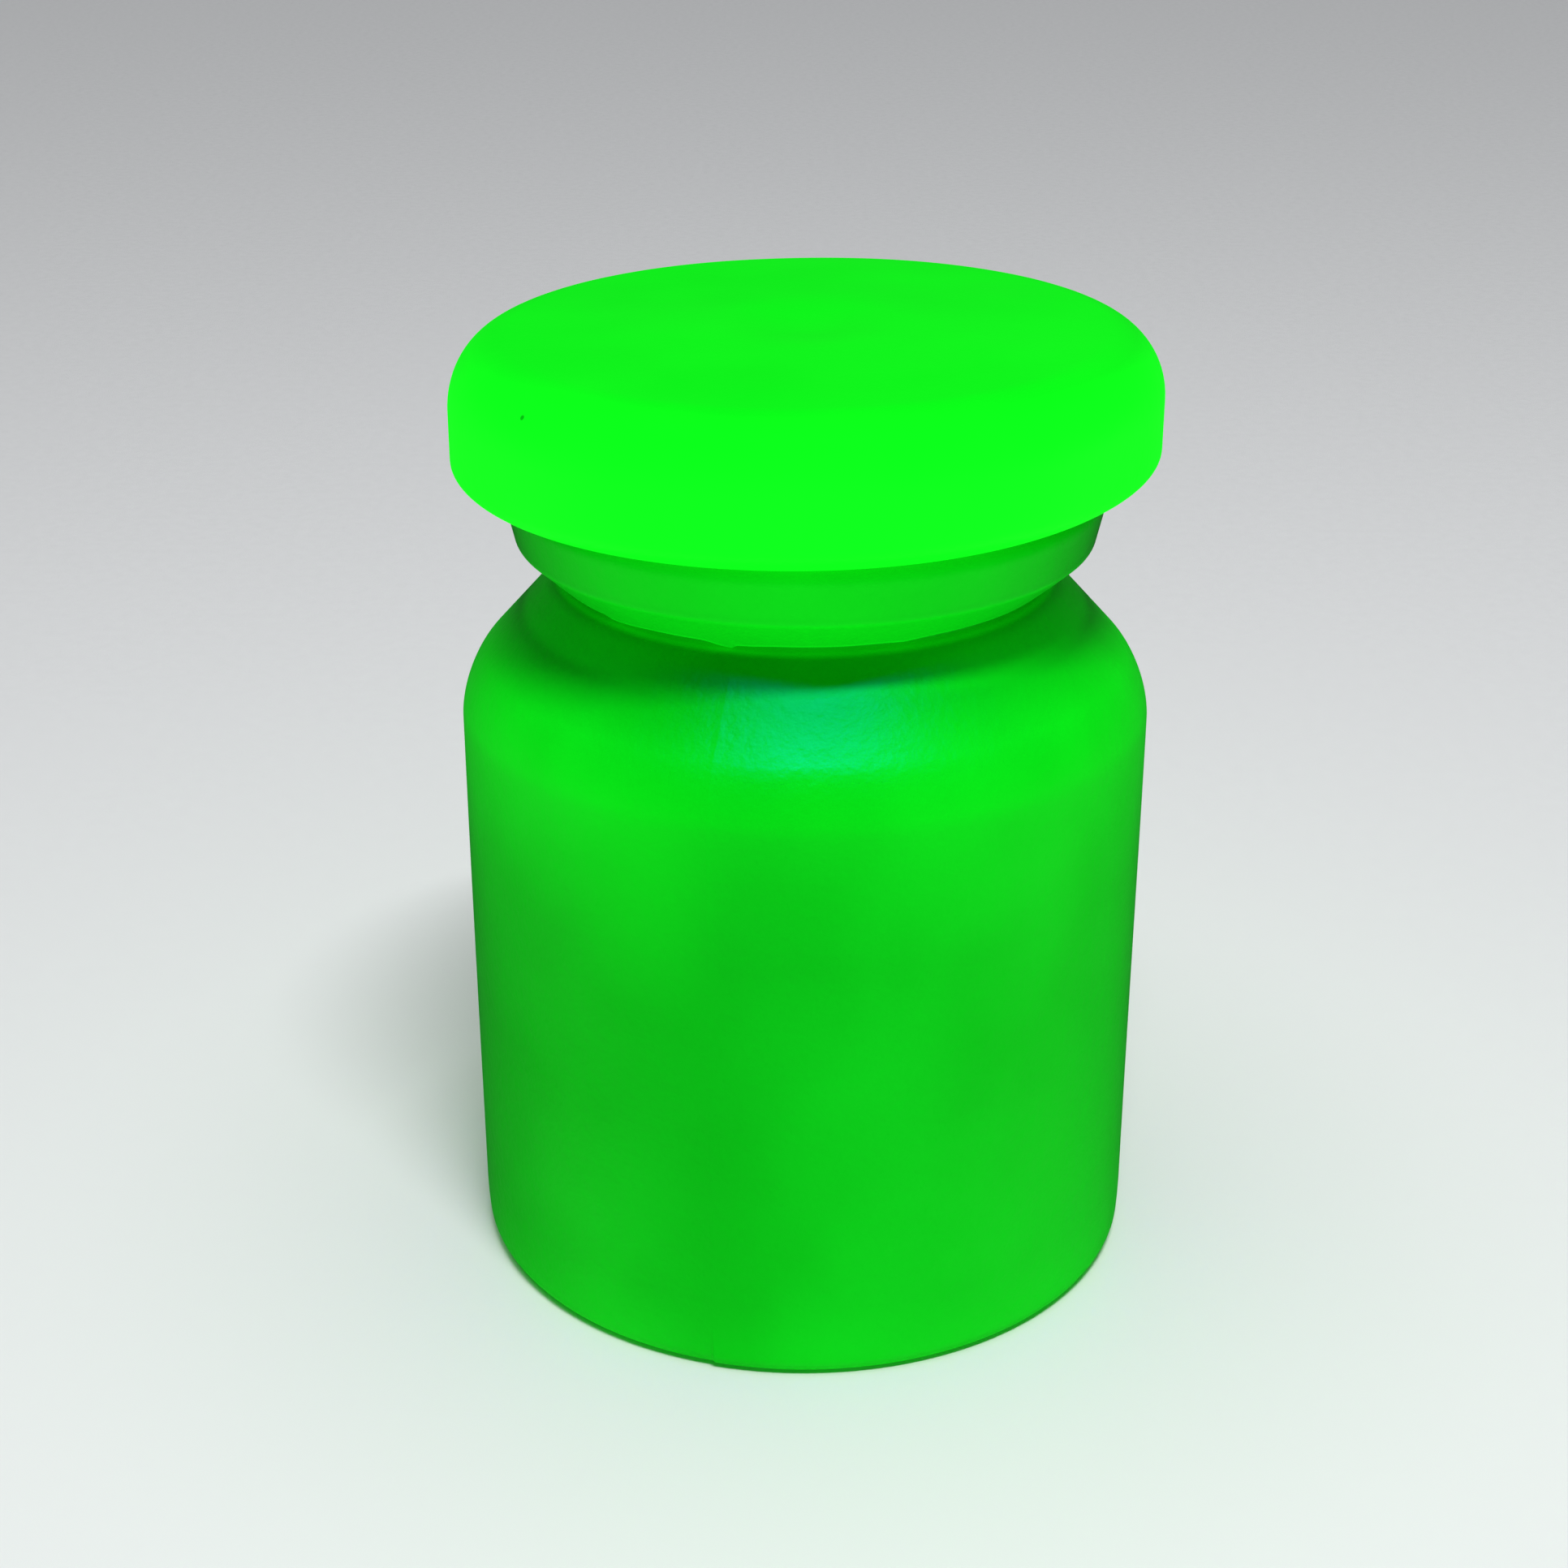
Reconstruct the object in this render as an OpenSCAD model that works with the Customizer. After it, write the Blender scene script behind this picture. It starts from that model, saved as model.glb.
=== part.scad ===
// Stoppered glass jar: a straight-sided jar with a sloping shoulder and a flared lip,
// closed by a bun-shaped stopper whose hollow plug drops into the tapered mouth.
// Origin: centre of the foot ring, on the surface the jar stands on. +Z is up.

/* [Jar] */
// Outside diameter of the straight wall
body_d = 76; // [68:1:84]
// Height at which the wall begins to turn into the shoulder
wall_h = 64; // [50:1:90]
// Radius of the turn from wall to shoulder
shoulder_r = 10.5; // [8:0.5:14]
// Slope of the shoulder above horizontal, in degrees
shoulder_slope = 48; // [40:1:55]
// Radius of the outside edge at the base
heel_r = 2; // [1:0.5:4]
// Thickness of the glass in the wall
wall_t = 4.5; // [3:0.5:5]
// Thickness of the glass in the floor
floor_t = 6.5; // [5:0.5:9]
// Radius of the inside corner between floor and wall
well_r = 6; // [3:0.5:9]

/* [Foot] */
// Width of the flat ring that the jar stands on
foot_w = 6; // [4:0.5:9]
// Depth of the hollow inside the foot ring
foot_hollow = 1.2; // [0.6:0.1:2]

/* [Lip] */
// Diameter of the narrow neck groove between shoulder and lip
neck_d = 52.4; // [51:0.2:53.6]
// Height of the neck groove
neck_h = 1; // [0.6:0.1:1.4]
// Diameter of the sharp lower edge of the lip
lip_d = 55; // [54.5:0.1:56]
// Diameter at the crease where the flare steepens
crease_d = 63; // [60:0.2:65]
// Height of the crease above the lower edge
crease_h = 3.6; // [3:0.1:5]
// Diameter across the rim
rim_d = 65.6; // [65:0.2:72]
// Height of the rim above the crease
rim_h = 5.65; // [5:0.05:8]
// Radius of the rim's outer edge
rim_r = 1.4; // [0.6:0.1:2]

/* [Mouth] */
// Diameter of the ground seat at the rim
mouth_d = 47; // [44:0.5:48]
// Taper of the seat: loss of diameter for each millimetre of depth
seat_taper = 0.1; // [0.05:0.01:0.12]
// Gap between plug and seat, measured on the radius
seat_gap = 0.2; // [0.1:0.05:0.3]

/* [Stopper] */
// Diameter of the bun
bun_d = 76; // [70:1:84]
// How far in from the side the underside of the bun begins to curve
under_in = 12; // [8:0.5:12]
// Rise of that lower curve
under_h = 4.1; // [3:0.1:6]
// Height of the straight side of the bun
side_h = 5.5; // [3:0.5:9]
// How far in from the side the top of the bun begins to curve
over_in = 6.4; // [4:0.2:9]
// Rise of that upper curve
over_h = 7.2; // [5:0.2:9]
// Rise of the crown from its edge to its high ring
crown_h = 0.7; // [0.3:0.1:1.5]
// Diameter of the shallow dip in the middle of the crown
dip_d = 24; // [16:1:40]
// Depth of that dip
dip_h = 0.4; // [0.2:0.1:0.5]
// Length of the plug below the bun
plug_l = 16; // [14:0.5:20]
// Radius of the plug's lower edge
plug_r = 1.5; // [0.5:0.5:2]
// Diameter of the hollow in the plug, at its open end
hollow_d = 32; // [24:1:34]
// Depth of the hollow
hollow_l = 13; // [8:0.5:14]
// Radius of the corner at the top of the hollow
hollow_r = 3; // [1:0.5:4]

/* [Hidden] */
$fn = 96;
ARC_STEPS = 10;
GROOVE_EASE = 0.3;
HOLLOW_DRAFT = 1.5;
FOOT_DRAFT = 1;

body_r = body_d / 2;
shoulder_c = [body_r - shoulder_r, wall_h];
shoulder_turn = 90 - shoulder_slope;
shoulder_end = shoulder_c + shoulder_r * [cos(shoulder_turn), sin(shoulder_turn)];
lip_z = shoulder_end.y + (shoulder_end.x - lip_d / 2) * tan(shoulder_slope) + neck_h;
neck_low_z = lip_z - neck_h;
crease_z = lip_z + crease_h;
rim_z = crease_z + rim_h;
foot_r = body_r - heel_r - foot_w;

inner_r = body_r - wall_t;
inner_turn_r = shoulder_r - wall_t;
inner_turn_end = shoulder_c + inner_turn_r * [cos(shoulder_turn), sin(shoulder_turn)];
// Radius of the ground seat at a height, and where the inner slope of the shoulder meets it
function seat_r(z) = mouth_d / 2 - (rim_z - z) * seat_taper / 2;
seat_low_z = (inner_turn_end.y + (inner_turn_end.x - mouth_d / 2 + rim_z * seat_taper / 2)
    * tan(shoulder_slope)) / (1 + tan(shoulder_slope) * seat_taper / 2);

bun_r = bun_d / 2;
side_z = rim_z + under_h;
over_z = side_z + side_h;
crown_z = over_z + over_h;
plug_z = rim_z - plug_l;
hollow_z = plug_z + hollow_l;

// Points on an ellipse of half-axes half, from one angle to another, both ends included
function arc(centre, half, from, to, steps = ARC_STEPS) =
    [for (i = [0:steps])
        let (a = from + (to - from) * i / steps)
        centre + [half.x * cos(a), half.y * sin(a)]];

// Height of the crown above its edge: a low dome with a smooth dip in the middle
function crown_rise(r) =
    let (edge = bun_r - over_in)
    crown_h * (1 - pow(r / edge, 2))
        - (r < dip_d / 2 ? (dip_h + crown_h / 2) * pow(cos(180 * r / dip_d), 2) : 0);

// A round solid from its outline, a list of [radius, height] points
module turned(outline) {
    rotate_extrude() polygon(outline);
}

// The outside of the jar, from the middle of the base up to the rim
function jar_outside() = concat(
    [[0, foot_hollow], [foot_r - FOOT_DRAFT, foot_hollow], [foot_r, 0]],
    arc([body_r - heel_r, heel_r], [heel_r, heel_r], -90, 0),
    arc(shoulder_c, [shoulder_r, shoulder_r], 0, shoulder_turn),
    [[lip_d / 2, neck_low_z], [neck_d / 2, neck_low_z + GROOVE_EASE],
        [neck_d / 2, lip_z - GROOVE_EASE], [lip_d / 2, lip_z], [crease_d / 2, crease_z]],
    arc([rim_d / 2 - rim_r, rim_z - rim_r], [rim_r, rim_r], 0, 90));

// The inside of the jar, from the rim down to the middle of the floor
function jar_inside() = concat(
    [[seat_r(rim_z), rim_z], [seat_r(seat_low_z), seat_low_z]],
    arc(shoulder_c, [inner_turn_r, inner_turn_r], shoulder_turn, 0),
    arc([inner_r - well_r, floor_t + well_r], [well_r, well_r], 0, -90),
    [[0, floor_t]]);

// The open glass jar: wall, shoulder, flared lip and ground mouth in one piece of glass
module jar() {
    color([0.05, 0.82, 0.1]) turned(concat(jar_outside(), jar_inside()));
}

// The outside of the stopper, from the plug's lower edge up to the middle of the crown
function stopper_outside() =
    let (low_r = seat_r(plug_z) - seat_gap, edge = bun_r - over_in, steps = 3 * ARC_STEPS)
    concat(
        arc([low_r - plug_r, plug_z + plug_r], [plug_r, plug_r], -90, 0),
        [[seat_r(rim_z) - seat_gap, rim_z]],
        arc([bun_r - under_in, side_z], [under_in, under_h], -90, 0),
        arc([bun_r - over_in, over_z], [over_in, over_h], 0, 90),
        [for (i = [1:steps]) let (r = edge * (1 - i / steps)) [r, crown_z + crown_rise(r)]]);

// The hollow of the plug, from the middle of its roof down to its open end
function stopper_hollow() =
    let (roof_r = hollow_d / 2 - HOLLOW_DRAFT)
    concat(
        [[0, hollow_z]],
        arc([roof_r - hollow_r, hollow_z - hollow_r], [hollow_r, hollow_r], 90, 0),
        [[hollow_d / 2, plug_z]]);

// The stopper: bun and hollow plug in one piece of glass
module stopper() {
    color([0.03, 1, 0.03]) turned(concat(stopper_outside(), stopper_hollow()));
}

jar();
stopper();
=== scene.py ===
import math
import bpy
import bmesh
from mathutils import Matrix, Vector, noise


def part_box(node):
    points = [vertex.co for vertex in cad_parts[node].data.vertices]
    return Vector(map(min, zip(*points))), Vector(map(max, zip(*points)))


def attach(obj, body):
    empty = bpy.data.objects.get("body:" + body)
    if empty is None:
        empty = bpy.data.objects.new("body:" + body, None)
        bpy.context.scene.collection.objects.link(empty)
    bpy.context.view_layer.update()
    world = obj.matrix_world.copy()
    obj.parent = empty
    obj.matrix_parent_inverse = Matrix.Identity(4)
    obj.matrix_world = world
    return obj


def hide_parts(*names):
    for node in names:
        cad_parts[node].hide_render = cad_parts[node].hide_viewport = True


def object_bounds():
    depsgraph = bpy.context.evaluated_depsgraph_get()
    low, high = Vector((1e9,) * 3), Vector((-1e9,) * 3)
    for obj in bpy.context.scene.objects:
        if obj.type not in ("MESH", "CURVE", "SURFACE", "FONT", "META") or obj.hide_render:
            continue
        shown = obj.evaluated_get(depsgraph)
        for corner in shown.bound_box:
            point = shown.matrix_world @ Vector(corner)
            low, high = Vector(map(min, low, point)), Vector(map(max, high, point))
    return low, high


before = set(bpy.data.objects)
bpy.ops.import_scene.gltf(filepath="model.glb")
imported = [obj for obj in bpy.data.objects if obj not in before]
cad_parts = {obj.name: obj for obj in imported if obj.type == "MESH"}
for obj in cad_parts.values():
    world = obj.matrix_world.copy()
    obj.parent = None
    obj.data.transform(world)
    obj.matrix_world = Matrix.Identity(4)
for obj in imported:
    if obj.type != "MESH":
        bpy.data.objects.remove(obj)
cadLow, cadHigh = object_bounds()
mm = 0.001


def wireThrough(bm, corners):
    # a wire in the XZ plane, one vertex for each (radius, height) in millimetres
    verts = [bm.verts.new((r * mm, 0, z * mm)) for r, z in corners]
    for first, second in zip(verts, verts[1:]):
        bm.edges.new((first, second))
    return verts


def roundCorner(bm, vert, run, segments, rise=None):
    # run is how far the round reaches along both legs; with a rise it becomes a quarter of an ellipse
    stretch = run / rise if rise else 1
    bmesh.ops.scale(bm, vec=(1, 1, stretch), verts=bm.verts[:])
    bmesh.ops.bevel(bm, geom=[vert], offset=run * mm, offset_type="OFFSET", segments=segments,
                    profile=0.5, affect="VERTICES", material=-1, clamp_overlap=False)
    bmesh.ops.scale(bm, vec=(1, 1, 1 / stretch), verts=bm.verts[:])


def cutLongEdges(bm, longest, isHere=lambda middle: True):
    for edge in bm.edges[:]:
        middle = (edge.verts[0].co + edge.verts[1].co) / 2 / mm
        cuts = int(edge.calc_length() / (longest * mm))
        if cuts and isHere(middle):
            bmesh.ops.subdivide_edges(bm, edges=[edge], cuts=cuts)


def spinRound(bm, steps):
    bmesh.ops.spin(bm, geom=bm.verts[:] + bm.edges[:], cent=(0, 0, 0), axis=(0, 0, 1),
                   angle=2 * math.pi, steps=steps, use_merge=True)
    bmesh.ops.remove_doubles(bm, verts=bm.verts[:], dist=1e-7)
    bmesh.ops.recalc_face_normals(bm, faces=bm.faces[:])


def ringGap(angle, centre):
    # signed angle from centre, in degrees, between -180 and 180
    return (angle - centre + 180) % 360 - 180


def azimuth(point):
    # 0 at the front, positive towards +X, in degrees
    return math.degrees(math.atan2(point.x, -point.y))


def fromFront(azimuthDeg, elevationDeg, far):
    a, e = math.radians(azimuthDeg), math.radians(elevationDeg)
    return Vector((math.sin(a) * math.cos(e), -math.cos(a) * math.cos(e), math.sin(e))) * far


def tent(value, centre, reach):
    return max(0.0, 1 - abs(value - centre) / reach)


def smoothStep(value, low, high):
    share = min(1.0, max(0.0, (value - low) / (high - low)))
    return share * share * (3 - 2 * share)


def markEdges(bm, least, shareAt):
    # how sharply the outline turns outwards at each vertex, as a point attribute for a painted
    # highlight along the glass's edges
    layer = bm.verts.layers.float.new("paintedEdgeLight")
    for vert in bm.verts:
        share = shareAt(vert.co.xy.length / mm, vert.co.z / mm)
        if not share:
            continue
        around = Vector((-vert.co.y, vert.co.x, 0)).normalized()
        turns = [edge.calc_face_angle_signed(0) for edge in vert.link_edges if edge.is_manifold
                 and abs((edge.other_vert(vert).co - vert.co).normalized().dot(around)) > 0.9]
        vert[layer] = min(1.0, max(0.0, max(turns, default=0) - least) * share)


def finishPiece(bm, name, materials):
    mesh = bpy.data.meshes.new(name)
    bm.to_mesh(mesh)
    bm.free()
    mesh.shade_smooth()
    for material in materials:
        mesh.materials.append(material)
    piece = bpy.data.objects.new(name, mesh)
    bpy.context.scene.collection.objects.link(piece)
    return piece


class NodeDesk:
    # a short way to add and join shader nodes
    def __init__(self, material):
        material.use_nodes = True
        self.tree = material.node_tree
        self.tree.nodes.clear()
        self.place = -1600

    def add(self, kind, inputs=None, **settings):
        node = self.tree.nodes.new("ShaderNode" + kind)
        node.location = (self.place, 0)
        self.place += 60
        for key, value in settings.items():
            setattr(node, key, value)
        for key, value in (inputs or {}).items():
            if isinstance(value, bpy.types.NodeSocket):
                self.tree.links.new(value, node.inputs[key])
            else:
                node.inputs[key].default_value = value
        return node

    def maths(self, operation, first, second=0.0):
        return self.add("Math", {0: first, 1: second}, operation=operation).outputs[0]

    def noiseAt(self, point, scale, detail=2.0, roughness=0.5, stretch=None):
        if stretch:
            point = self.add("Mapping", {"Vector": point, "Scale": stretch}).outputs[0]
        return self.add("TexNoise", {"Vector": point, "Scale": scale, "Detail": detail,
                                     "Roughness": roughness}).outputs["Fac"]

    def fromRange(self, value, low, high, toLow, toHigh, smooth=False):
        kind = "SMOOTHSTEP" if smooth else "LINEAR"
        return self.add("MapRange", {"Value": value, "From Min": low, "From Max": high,
                                     "To Min": toLow, "To Max": toHigh},
                        interpolation_type=kind).outputs[0]

    def patch(self, value, centre, reach, inside, outside):
        # one level near the centre, easing into the other across the two distances in reach
        away = self.maths("ABSOLUTE", self.maths("SUBTRACT", value, centre))
        return self.fromRange(away, *reach, inside, outside, smooth=True)

    def ramp(self, value, stops):
        node = self.add("ValToRGB", {"Fac": value})
        node.color_ramp.interpolation = "LINEAR"
        points = node.color_ramp.elements
        while len(points) < len(stops):
            points.new(0.5)
        for point, (position, level) in zip(points, stops):
            point.position, point.color = position, (level, level, level, 1)
        return node.outputs[0]

    def blend(self, share, first, second):
        node = self.add("Mix", {"Factor": share}, data_type="RGBA")
        for socket, value in ((node.inputs[6], first), (node.inputs[7], second)):
            if isinstance(value, bpy.types.NodeSocket):
                self.tree.links.new(value, socket)
            else:
                socket.default_value = (*value, 1)
        return node.outputs[2]

    def bump(self, strength, deep, pattern, below=None, invert=False):
        inputs = {"Strength": strength, "Distance": deep, "Height": pattern}
        if below:
            inputs["Normal"] = below
        return self.add("Bump", inputs, invert=invert).outputs[0]


glassBase = dict(
    deep=(0.0008, 0.50, 0.004), pale=(0.002, 0.66, 0.008), seed=(0.0, 0.20, 0.002),
    # frost is the ground glass's colour; light is the colour of the painted glow
    frost=(0.10, 0.80, 0.14), light=(0.004, 1.0, 0.010),
    cloudScale=22, cloudShare=0.65, streakScale=30, streakStretch=0.22, milkRange=(0.36, 0.64),
    mottle=0.05,                                    # how much the clouds vary the glow
    seedScale=95, seedRarity=0.93, seedSize=(0.02, 0.055),
    bubble=(0.0, 0.0, 1.0), bubbleSize=(0.00018, 0.00034),   # out of reach unless a piece has one
    peelScale=900, grainScale=2790, waveScale=70, smudgeScale=38,
    peelBump=0.55, waveBump=0.12, pitBump=0.6,
    waveDeep=0.0004, peelDeep=0.00012, grainDeep=0.00004, pitDeep=0.0002,
    roughness=(0.32, 0.44), gloss=0.12, glossTint=(0.25, 1.0, 0.45), index=1.5,
    radius=cadHigh.x, paintedSideRange=(-2.5, 1.5), paintedLimbLight=0.8, paintedRightLight=-0.04, paintedPatches=[],
    frontSpan=(-0.024, -0.004),                     # y over which a painted patch for the front fades out
    frostScale=900, ringScale=260, ringStretch=(0.04, 0.04, 5),
    groundRough=(0.55, 0.75), groundGloss=0.3, paintedGroundGlow=(0.255, 0.345))


def cloudyMelt(desk, point, look):
    # slow clouds in the melt, and faint streaks drawn out along the height
    clouds = desk.noiseAt(point, look["cloudScale"], 3, 0.55)
    streaks = desk.noiseAt(point, look["streakScale"], 2, 0.5, stretch=(1, 1, look["streakStretch"]))
    milk = desk.maths("ADD", desk.maths("MULTIPLY", clouds, look["cloudShare"]),
                      desk.maths("MULTIPLY", streaks, 1 - look["cloudShare"]))
    return desk.fromRange(milk, *look["milkRange"], 0, 1, smooth=True)


def gasBubbles(desk, point, look):
    # seeds: a few tiny bubbles just under the skin; and one larger bubble that broke it
    cells = desk.add("TexVoronoi", {"Vector": point, "Scale": look["seedScale"], "Randomness": 1.0})
    draw = desk.add("SeparateColor", {0: cells.outputs["Color"]}).outputs[0]
    rare = desk.maths("GREATER_THAN", draw, look["seedRarity"])
    seeds = desk.fromRange(cells.outputs["Distance"], *look["seedSize"], 1, 0)
    away = desk.add("VectorMath", {0: point, 1: look["bubble"]}, operation="DISTANCE").outputs["Value"]
    bubble = desk.fromRange(away, *look["bubbleSize"], 1, 0)
    return desk.maths("MAXIMUM", desk.maths("MULTIPLY", rare, seeds), bubble)


def paintedGlowAndShade(desk, point, look):
    # painted glow standing in for light and shade: by height, then across the piece with painted side
    # light and shade, then in soft painted patches of light and shade
    split = desk.add("SeparateXYZ", {0: point})
    across, back, height = split.outputs[0], split.outputs[1], split.outputs[2]
    level = desk.fromRange(height, look["lowZ"], look["highZ"], 0, 1)
    glow = desk.ramp(level, look["paintedLightByHeight"])
    # painted light across the piece: flanks drawn brighter or darker by height, painted light at the
    # limbs and a painted brighter right side
    sides = desk.maths("MULTIPLY", across, 1 / look["radius"])
    square = desk.maths("MULTIPLY", sides, sides)
    limb = desk.maths("SUBTRACT", 1.0, desk.maths("POWER", square, 3.0))
    fall = desk.fromRange(desk.ramp(level, look["paintedSideLightByHeight"]), 0, 1, *look["paintedSideRange"])
    fall = desk.maths("ADD", fall, desk.maths("MULTIPLY", limb, look["paintedLimbLight"]))
    fall = desk.maths("MULTIPLY", square, fall)
    fall = desk.maths("ADD", fall, desk.maths("MULTIPLY", sides, look["paintedRightLight"]))
    glow = desk.maths("MULTIPLY", glow, desk.maths("ADD", fall, 1.0))
    # soft painted patches of light and shade
    for spot in look["paintedPatches"]:
        share = desk.patch(across, spot["x"], spot["reach"], spot["inside"], spot["outside"])
        share = desk.maths("MULTIPLY", share, desk.patch(level, spot["level"], spot["rise"], 1, 0))
        if spot["frontOnly"]:
            front = desk.fromRange(back, *look["frontSpan"], 1, 0, smooth=True)
            share = desk.maths("MULTIPLY", share, front)
        glow = desk.maths("ADD", glow, share)
    return glow


def opalGlass(name, look):
    material = bpy.data.materials.new(name)
    desk = NodeDesk(material)
    point = desk.add("TexCoord").outputs["Object"]
    milk = cloudyMelt(desk, point, look)
    seeds = gasBubbles(desk, point, look)
    body = desk.blend(milk, look["deep"], look["pale"])
    body = desk.blend(desk.maths("MULTIPLY", seeds, 0.7), body, look["seed"])

    # the glow is painted light; outward edges get a painted highlight, seeds glow less
    mottle = desk.fromRange(milk, 0, 1, 1 - look["mottle"], 1 + look["mottle"])
    glow = desk.maths("MULTIPLY", paintedGlowAndShade(desk, point, look), mottle)
    edge = desk.add("Attribute", attribute_name="paintedEdgeLight").outputs["Fac"]
    glow = desk.maths("ADD", glow, desk.maths("MULTIPLY", edge, look["paintedEdgeLight"]))
    glow = desk.maths("MULTIPLY", glow, desk.maths("SUBTRACT", 1.0, desk.maths("MULTIPLY", seeds, 0.6)))

    # fire-polished skin: a long waviness from the mould, orange peel, finer grain, pits at the seeds
    waves = desk.noiseAt(point, look["waveScale"], 1, 0.4)
    peel = desk.noiseAt(point, look["peelScale"], 2, 0.5)
    grain = desk.noiseAt(point, look["grainScale"], 1, 0.5)
    skin = desk.bump(look["waveBump"], look["waveDeep"], waves)
    skin = desk.bump(look["peelBump"], look["peelDeep"], peel, skin)
    skin = desk.bump(look["peelBump"] * 0.5, look["grainDeep"], grain, skin)
    skin = desk.bump(look["pitBump"], look["pitDeep"], seeds, skin, invert=True)
    smudge = desk.noiseAt(point, look["smudgeScale"], 4, 0.6)
    rough = desk.fromRange(smudge, 0.35, 0.7, *look["roughness"])

    # the emission carries the painted glow: light drawn into the glass, lit by no lamp
    shader = desk.add("BsdfPrincipled", {
        "Base Color": body, "Roughness": rough, "Normal": skin, "IOR": look["index"],
        "Specular IOR Level": look["gloss"], "Specular Tint": (*look["glossTint"], 1),
        "Emission Color": (*look["light"], 1), "Emission Strength": glow})
    desk.add("OutputMaterial", {"Surface": shader.outputs[0]})
    return material


def groundGlass(name, look):
    # the seat and the plug, ground matt with fine rings left by the lap
    material = bpy.data.materials.new(name)
    desk = NodeDesk(material)
    point = desk.add("TexCoord").outputs["Object"]
    frost = desk.noiseAt(point, look["frostScale"], 3, 0.6)
    rings = desk.noiseAt(point, look["ringScale"], 2, 0.6, stretch=look["ringStretch"])
    body = desk.blend(desk.fromRange(frost, 0.3, 0.7, 0, 1), look["deep"], look["pale"])
    body = desk.blend(0.22, body, look["frost"])
    skin = desk.bump(0.45, 0.0001, rings)
    skin = desk.bump(0.7, 0.00006, frost, skin)
    rough = desk.fromRange(rings, 0.3, 0.7, *look["groundRough"])
    # painted glow on the ground glass, a little uneven with the frost
    glow = desk.fromRange(frost, 0.3, 0.7, *look["paintedGroundGlow"])
    shader = desk.add("BsdfPrincipled", {
        "Base Color": body, "Roughness": rough, "Normal": skin, "IOR": look["index"],
        "Specular IOR Level": look["groundGloss"],
        "Emission Color": (*look["light"], 1), "Emission Strength": glow})
    desk.add("OutputMaterial", {"Surface": shader.outputs[0]})
    return material


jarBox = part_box("jar")
jar = dict(
    radius=jarBox[1][0] / mm, rimZ=jarBox[1][2] / mm,
    footR=30.0, footDraft=1.0, footHollow=1.2, heel=2.0,
    shoulderZ=68.03, shoulderRun=4.03, slope=48,
    neckR=26.2, neckH=1.0, neckEase=0.3, lipR=27.5, creaseR=31.5, creaseH=3.6, rimR=32.8,
    mouthR=23.5, seatLowR=22.9, seatLowZ=78.1,
    wellR=33.5, wellZ=66.3, floorZ=6.5,
    spins=256, longest=1.6, lipLongest=0.4,
    seam=-15.0, slipRun=0.12, slipLow=0.28, slipHigh=0.012, slipFade=(0.5, 5),
    ridge=0.035, ridgeHalf=0.62, ridgeFade=(40, 66),
    seamCuts=(-1.1, -0.62, -0.36, -0.24, -0.12, 0, 0.12, 0.24, 0.36, 0.62, 1.1),
    swell=0.07, swellPitch=(28, 28, 22), skinIn=0.05, draft=0.2, draftSpan=(-30, 60))
flash = dict(
    reach=1.8, chipWay=-46, chip=0.26, chipRun=17,        # a long chip at the left
    seamHang=0.5, seamWay=-15.6, afterHang=0.18,          # the point at the seam, and what follows it
    ripple=0.10, rippleWay=21, shortfall=0.16,
    backHang=0.35, backWay=164.6, ragged=0.05)


def jarOutline(bm):
    p = jar
    rise = math.tan(math.radians(p["slope"]))
    neckZ = p["shoulderZ"] + (p["radius"] - p["lipR"]) * rise
    lipZ = neckZ + p["neckH"]
    verts = wireThrough(bm, [
        (0, p["footHollow"]), (p["footR"] - p["footDraft"], p["footHollow"]), (p["footR"], 0),
        (p["radius"], 0), (p["radius"], p["shoulderZ"]), (p["lipR"], neckZ),
        (p["neckR"], neckZ + p["neckEase"]), (p["neckR"], lipZ - p["neckEase"]), (p["lipR"], lipZ),
        (p["creaseR"], lipZ + p["creaseH"]), (p["rimR"], p["rimZ"]),
        (p["mouthR"], p["rimZ"]), (p["seatLowR"], p["seatLowZ"]), (p["wellR"], p["wellZ"]),
        (p["wellR"], p["floorZ"]), (0, p["floorZ"])])
    # which corner, how far its round runs, and in how many steps
    rounds = [(1, 0.4, 3), (2, 0.5, 3), (3, p["heel"], 10), (4, p["shoulderRun"], 16), (5, 0.5, 4),
              (6, 0.12, 2), (7, 0.12, 2), (8, 0.07, 3), (9, 0.30, 4), (10, 1.4, 9),
              (11, 0.6, 5), (12, 1.0, 4), (13, 2.3, 8), (14, 6.0, 12)]
    for index, run, segments in rounds:
        roundCorner(bm, verts[index], run, segments)
    return lipZ


def isOutside(r, z):
    # true on the outer skin; the inner face of the shoulder runs below the outer one
    p = jar
    if z < p["shoulderZ"]:
        return r > p["wellR"] + 1.5 or z < 1
    innerZ = p["wellZ"] + (p["wellR"] - r) * math.tan(math.radians(p["slope"]))
    return r > p["seatLowR"] + 2.2 and z > innerZ + 2.2


def cutSeam(bm):
    # extra loops beside the mould seam, front and back, so that it can be fine and crisp
    along = math.radians(jar["seam"])
    across = Vector((math.cos(along), math.sin(along), 0))
    for offset in jar["seamCuts"]:
        centres = [(f, f.calc_center_median() / mm) for f in bm.faces]
        geom = [f for f, c in centres if c.xy.length > 25 and isOutside(c.xy.length, c.z)]
        parts = {v for f in geom for v in f.verts} | {e for f in geom for e in f.edges}
        bmesh.ops.bisect_plane(bm, geom=geom + list(parts), dist=2e-6, plane_co=across * offset * mm,
                               plane_no=across)


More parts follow.
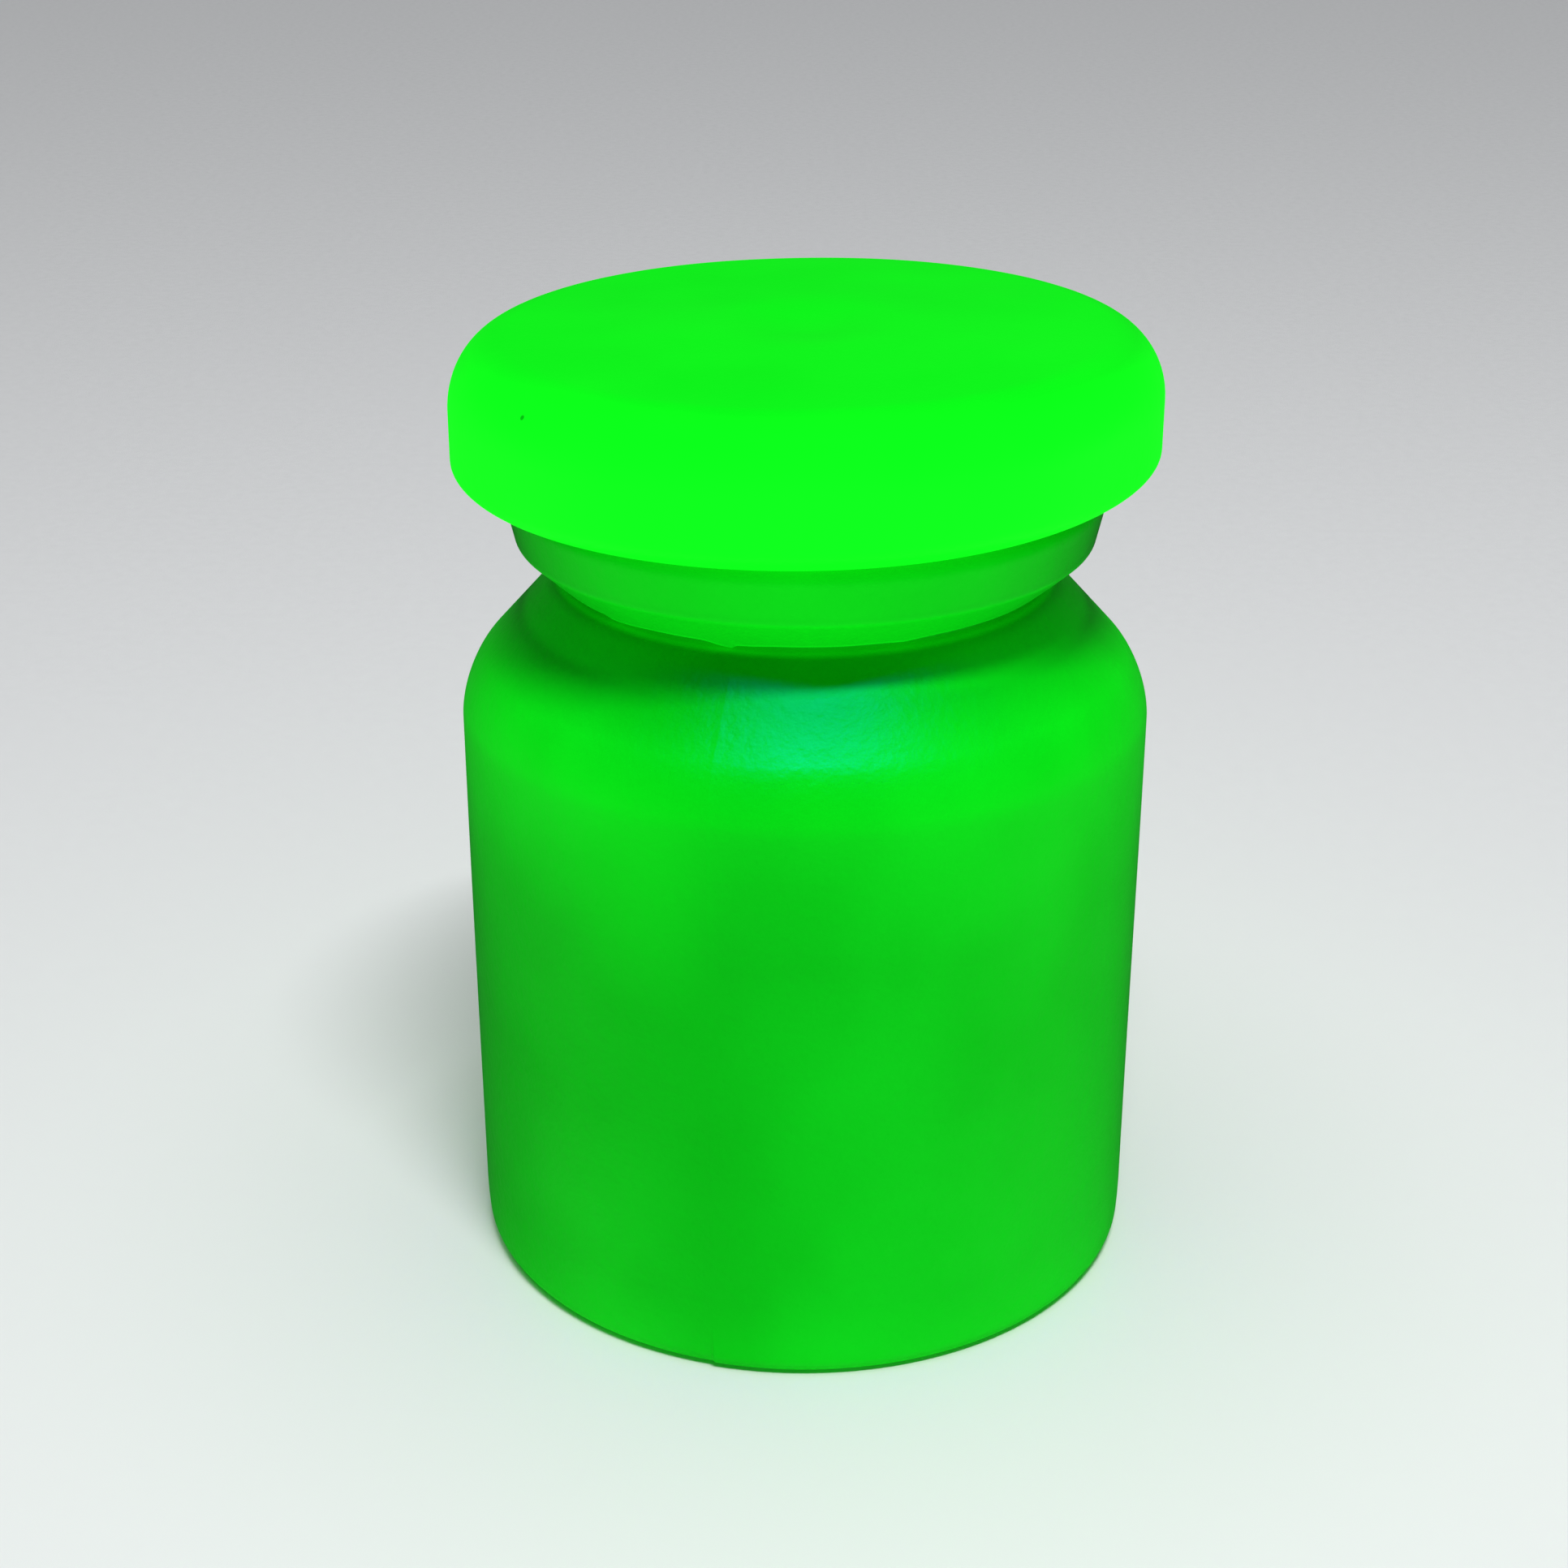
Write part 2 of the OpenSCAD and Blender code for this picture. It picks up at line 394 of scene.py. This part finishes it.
def lipFlash(angle):
    # how far the mould left the lip's lower edge hanging, in millimetres
    p = flash
    way, left = p["seamWay"], ringGap(angle, p["chipWay"])
    chip = p["chip"] * smoothStep(left, -3, 0) * (1 - smoothStep(left, 0, p["chipRun"]))
    atSeam = p["seamHang"] * smoothStep(angle, -23, way) * (1 - smoothStep(angle, way, -14.2))
    afterSeam = p["afterHang"] * smoothStep(angle, way, -14.2) * (1 - smoothStep(angle, -14, -5))
    small = p["ripple"] * tent(angle, p["rippleWay"], 4)
    small -= p["shortfall"] * smoothStep(angle, p["rippleWay"], 30) * (1 - smoothStep(angle, 60, 100))
    back = p["backHang"] * smoothStep(angle, 158, p["backWay"])
    back *= 1 - smoothStep(angle, p["backWay"], 166.5)
    ragged = p["ragged"] * noise.noise(Vector((angle * 0.11, 3.7, 0)))
    return chip + atSeam + afterSeam + small + back + ragged


def mouldSkin(place, r, z, lipZ):
    # how far the mould put the outer skin out or in, in millimetres
    p = jar
    gap = math.radians(ringGap(azimuth(place), p["seam"]))
    # the two halves of the mould never met quite true
    half = smoothStep(math.sin(gap) * r, -p["slipRun"], p["slipRun"])
    slip = p["slipHigh"] + (p["slipLow"] - p["slipHigh"]) * (1 - smoothStep(z, *p["slipFade"]))
    push = (half - 0.5) * slip * math.cos(gap) - 0.5 * slip
    ridge = p["ridge"] * max(0, 1 - abs(math.sin(gap)) * r / p["ridgeHalf"]) if z < lipZ else 0
    push += ridge * (0.4 + 0.6 * smoothStep(z, *p["ridgeFade"]))
    swell = noise.noise(place * Vector(p["swellPitch"]))
    return push + p["swell"] * swell - p["skinIn"] - p["draft"] * (1 - smoothStep(z, *p["draftSpan"]))


def shapeJar(bm, lipZ):
    p = jar
    for vert in bm.verts:
        r, z = math.hypot(vert.co.x, vert.co.y) / mm, vert.co.z / mm
        push = mouldSkin(vert.co, r, z, lipZ) if isOutside(r, z) else 0.0
        hang = 0.0
        if lipZ - 0.5 < z and r < p["creaseR"]:
            nearLip = tent(z, lipZ, flash["reach"]) * smoothStep(r, p["neckR"], p["lipR"] - 0.3)
            if nearLip:
                hang = lipFlash(azimuth(vert.co)) * nearLip
                push -= 0.2 * hang
        if push:
            vert.co.x *= 1 + push / r
            vert.co.y *= 1 + push / r
        vert.co.z -= hang * mm


def makeJar():
    p = jar
    bm = bmesh.new()
    lipZ = jarOutline(bm)
    cutLongEdges(bm, p["lipLongest"],
                 lambda c: c.x > p["neckR"] - 1 and lipZ - 2.5 < c.z < p["rimZ"] - 0.1)
    cutLongEdges(bm, p["longest"])
    spinRound(bm, p["spins"])
    cutSeam(bm)
    shapeJar(bm, lipZ)
    bmesh.ops.remove_doubles(bm, verts=bm.verts[:], dist=2e-6)
    bm.normal_update()
    # painted highlight along the lip's lower edge and along the crease above it
    markEdges(bm, 0.03, lambda r, z: r > 26.8 and (3.2 * tent(z, lipZ, 1.2)
                                                   + 0.85 * tent(z, lipZ + p["creaseH"], 0.8)))
    for face in bm.faces:
        middle = face.calc_center_median() / mm
        if middle.xy.length < p["mouthR"] + 0.7 and p["seatLowZ"] + 0.1 < middle.z < p["rimZ"] - 0.64:
            face.material_index = 1
    # painted patches of light and shade: a painted darker patch in the wall's upper middle, a painted
    # bright lobe to its left, and a little painted light on the flanks of the shoulder, where the bun's
    # shadow falls
    paintedPatches = [dict(x=-0.001, reach=(0.0, 0.017), inside=-0.03, outside=0, level=0.62,
                    rise=(0.03, 0.17), frontOnly=False),
               dict(x=-0.0165, reach=(0.001, 0.010), inside=0.075, outside=0, level=0.64,
                    rise=(0.06, 0.19), frontOnly=True),
               dict(x=-0.001, reach=(0.007, 0.022), inside=0, outside=0.085, level=0.862,
                    rise=(0.010, 0.028), frontOnly=False)]
    look = dict(glassBase, lowZ=0.0, highZ=jarBox[1][2], paintedEdgeLight=0.8, paintedPatches=paintedPatches,
                # painted light by height: brighter base, shoulder and lip, and a painted shadow with no
                # glow where the bun's shadow falls on the shoulder
                paintedLightByHeight=[(0.0, 0.24), (0.10, 0.15), (0.35, 0.12), (0.55, 0.15), (0.73, 0.28),
                              (0.79, 0.18), (0.811, 0.10), (0.84, 0.0), (0.884, 0.0), (0.890, 0.12),
                              (0.895, 0.36), (0.935, 0.36), (0.95, 0.42), (1.0, 0.42)],
                # painted side light and shade by height
                paintedSideLightByHeight=[(0.0, 0.49), (0.50, 0.48), (0.70, 0.55), (0.86, 0.58), (0.89, 0.08)])
    piece = finishPiece(bm, "opalJar", [opalGlass("opalJarGlass", look),
                                        groundGlass("groundSeat", look)])
    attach(piece, "jar")
    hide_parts("jar")
    print("jar made:", len(piece.data.polygons), "faces")
    return piece


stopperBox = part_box("stopper")
bun = dict(
    radius=stopperBox[1][0] / mm, plugZ=stopperBox[0][2] / mm, seatZ=jarBox[1][2] / mm,
    topZ=106.5, underRun=12.0, underRise=4.1, overRun=6.4, overRise=7.2,
    plugTopR=23.3, plugLowR=22.5, hollowR=16.0, roofR=14.5, roofZ=87.0,
    spins=256, longest=1.4,
    crown=0.7, dipR=11.0, dip=0.35,
    lean=0.019, leanR=(28, 37), leanZ=(2, 8), flattenZ=99, flattenLeft=0.5, flattenRight=0.15,
    swell=0.07, swellPitch=0.03, pull=0.06, pullPitch=0.028, skinIn=0.05,
    bubbleWay=-48.8, bubbleR=36.8, bubbleZ=103.4)


def crownRise(r):
    p = bun
    edge = p["radius"] - p["overRun"]
    rise = p["crown"] * (1 - min(1.0, r / edge) ** 2)
    if r < p["dipR"]:
        rise -= (p["dip"] + 0.5 * p["crown"]) * math.cos(math.pi * r / 2 / p["dipR"]) ** 2
    return rise


def leanBun(bm):
    # the bun came out of its mould leaning on its plug; its flat underside still meets the rim
    p = bun
    upperZ = p["seatZ"] + p["underRise"] + 1
    for vert in bm.verts:
        place = vert.co / mm
        x, y, z = place
        r = math.hypot(x, y)
        if z > p["seatZ"] - 0.1:
            share = max(smoothStep(r, *p["leanR"]),
                        smoothStep(z, p["seatZ"] + p["leanZ"][0], p["seatZ"] + p["leanZ"][1]))
            right = smoothStep(x, -12, 12)
            flatten = p["flattenLeft"] + (p["flattenRight"] - p["flattenLeft"]) * right
            share *= 1 - flatten * smoothStep(z, p["flattenZ"], p["topZ"])
            swell = noise.noise(place * p["swellPitch"] + Vector((5, 2, 8)))
            swell *= p["swell"] * smoothStep(z, upperZ, p["topZ"])
            crown = crownRise(r) * smoothStep(z, p["topZ"] - 3, p["topZ"])
            vert.co.z += (crown + p["lean"] * x * share + swell) * mm
        if z > p["seatZ"] + 0.4 and r > 30:
            pull = p["pull"] * noise.noise(place * p["pullPitch"]) - p["skinIn"]
            vert.co.x += x / r * pull * mm
            vert.co.y += y / r * pull * mm


def makeStopper():
    p = bun
    bm = bmesh.new()
    verts = wireThrough(bm, [
        (0, p["roofZ"]), (p["roofR"], p["roofZ"]), (p["hollowR"], p["plugZ"]),
        (p["plugLowR"], p["plugZ"]), (p["plugTopR"], p["seatZ"]), (p["radius"], p["seatZ"]),
        (p["radius"], p["topZ"]), (0, p["topZ"])])
    for index, run, segments in [(1, 3.0, 8), (2, 0.8, 4), (3, 1.5, 7), (4, 0.5, 4)]:
        roundCorner(bm, verts[index], run, segments)
    roundCorner(bm, verts[5], p["underRun"], 22, rise=p["underRise"])
    roundCorner(bm, verts[6], p["overRun"], 22, rise=p["overRise"])
    cutLongEdges(bm, p["longest"])
    spinRound(bm, p["spins"])
    leanBun(bm)
    bm.normal_update()
    # painted highlight along the plug's edges below the seat
    markEdges(bm, 0.12, lambda r, z: 2.0 if z < p["seatZ"] - 2 else 0)
    for face in bm.faces:
        middle = face.calc_center_median() / mm
        if middle.xy.length > 21.5 and p["plugZ"] + 1.5 < middle.z < p["seatZ"] - 0.5:
            face.material_index = 1
    # one larger bubble broke the skin near the crown's left edge
    aim = fromFront(p["bubbleWay"], 0, p["bubbleR"] * mm) + Vector((0, 0, p["bubbleZ"] * mm))
    bubble = min(bm.verts, key=lambda vert: (vert.co - aim).length).co.copy()
    look = dict(glassBase, lowZ=stopperBox[0][2], highZ=stopperBox[1][2], bubble=bubble,
                deep=(0.001, 0.57, 0.005), pale=(0.002, 0.62, 0.006), mottle=0.02, seedRarity=1.0,
                gloss=0.06, peelBump=0.12, waveBump=0.06, paintedEdgeLight=0.4, paintedRightLight=0.0, paintedLimbLight=0.0,
                # painted light by height: a painted shade on the bun's underside, bright sides and a
                # darker top
                paintedLightByHeight=[(0.0, 0.30), (0.44, 0.28), (0.475, 0.12), (0.510, 0.12), (0.530, 0.80),
                              (0.80, 0.80), (0.92, 0.48), (0.965, 0.25), (0.985, 0.225), (1.0, 0.235)],
                paintedSideLightByHeight=[(0.0, 0.625), (1.0, 0.625)])      # even from side to side
    piece = finishPiece(bm, "opalStopper", [opalGlass("opalStopperGlass", look),
                                            groundGlass("groundPlug", look)])
    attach(piece, "stopper")
    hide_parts("stopper")
    print("stopper made:", len(piece.data.polygons), "faces")


studio = dict(
    floorSize=3.2, floorColour=(0.78, 0.79, 0.80), floorRough=(0.42, 0.55), floorGloss=0.3,
    keyWay=(13, 63), keyFar=0.78, keySize=(0.25, 0.04), keyPower=4.05, keyColour=(1, 1, 1),
    gleamWay=(7, 63.5), gleamSize=(0.6, 0.05), gleamPower=22.0, gleamColour=(0.01, 0.18, 1.0),
    fillPower=1.55, fillAngle=60, airColour=(0.85, 0.9, 1.0), airPower=0.05,
    eyeFar=0.3055, eyeLift=23.7, aimX=-0.0023, aimZ=0.0537, lens=61.88)


def addLight(name, place, aim, size, power, colour, gloss, diffuse):
    data = bpy.data.lights.new(name, "AREA")
    data.shape, data.energy, data.color = "ELLIPSE", power, colour
    data.size, data.size_y = size
    lamp = bpy.data.objects.new(name, data)
    lamp.location = place
    lamp.rotation_euler = (aim - place).to_track_quat("-Z", "Y").to_euler()
    lamp.visible_glossy, lamp.visible_diffuse = gloss, diffuse
    bpy.context.scene.collection.objects.link(lamp)
    return lamp


def makeFloor():
    bm = bmesh.new()
    bmesh.ops.create_grid(bm, x_segments=2, y_segments=2, size=studio["floorSize"] / 2)
    bmesh.ops.translate(bm, vec=(0, 0, cadLow.z), verts=bm.verts[:])
    material = bpy.data.materials.new("paleFloor")
    desk = NodeDesk(material)
    point = desk.add("TexCoord").outputs["Object"]
    rough = desk.fromRange(desk.noiseAt(point, 400, 3, 0.6), 0.3, 0.7, *studio["floorRough"])
    shader = desk.add("BsdfPrincipled", {"Base Color": (*studio["floorColour"], 1), "Roughness": rough,
                                         "Specular IOR Level": studio["floorGloss"]})
    desk.add("OutputMaterial", {"Surface": shader.outputs[0]})
    floor = finishPiece(bm, "floor", [material])
    floor.visible_glossy = False
    print("floor made")


def makeLights(gleamTakers):
    # the cool gleam falls on gleamTakers alone; on the stopper the glow drowns it
    s = studio
    middle = Vector((0, 0, (cadLow.z + cadHigh.z) / 2))
    keyPlace = middle + fromFront(*s["keyWay"], s["keyFar"])
    addLight("keyLight", keyPlace, middle, s["keySize"], s["keyPower"], s["keyColour"], False, True)
    gleamPlace = middle + fromFront(*s["gleamWay"], s["keyFar"])
    gleam = addLight("coolGleam", gleamPlace, middle, s["gleamSize"], s["gleamPower"],
                     s["gleamColour"], True, False)
    gleam.light_linking.receiver_collection = gleamTakers
    fill = bpy.data.lights.new("skyFill", "SUN")           # straight down, very soft
    fill.energy, fill.angle = s["fillPower"], math.radians(s["fillAngle"])
    lamp = bpy.data.objects.new("skyFill", fill)
    lamp.visible_glossy = False
    bpy.context.scene.collection.objects.link(lamp)
    world = bpy.data.worlds.new("studioAir")
    bpy.context.scene.world = world
    world.use_nodes = True
    air = world.node_tree.nodes["Background"].inputs
    air["Color"].default_value = (*s["airColour"], 1)
    air["Strength"].default_value = s["airPower"]
    print("lights made")


def makeCamera():
    s = studio
    data = bpy.data.cameras.new("camera")
    data.lens, data.sensor_width, data.clip_start = s["lens"], 36, 0.01
    camera = bpy.data.objects.new("camera", data)
    camera.location = Vector((0, 0, s["aimZ"])) + fromFront(0, s["eyeLift"], s["eyeFar"])
    look = Vector((s["aimX"], 0, s["aimZ"])) - camera.location
    camera.rotation_euler = look.to_track_quat("-Z", "Y").to_euler()
    bpy.context.scene.collection.objects.link(camera)
    bpy.context.scene.camera = camera
    bpy.context.scene.view_settings.view_transform = "Standard"
    print("camera made")


makeCamera()
makeFloor()
gleamTakers = bpy.data.collections.new("gleamTakers")
makeLights(gleamTakers)
gleamTakers.objects.link(makeJar())
makeStopper()
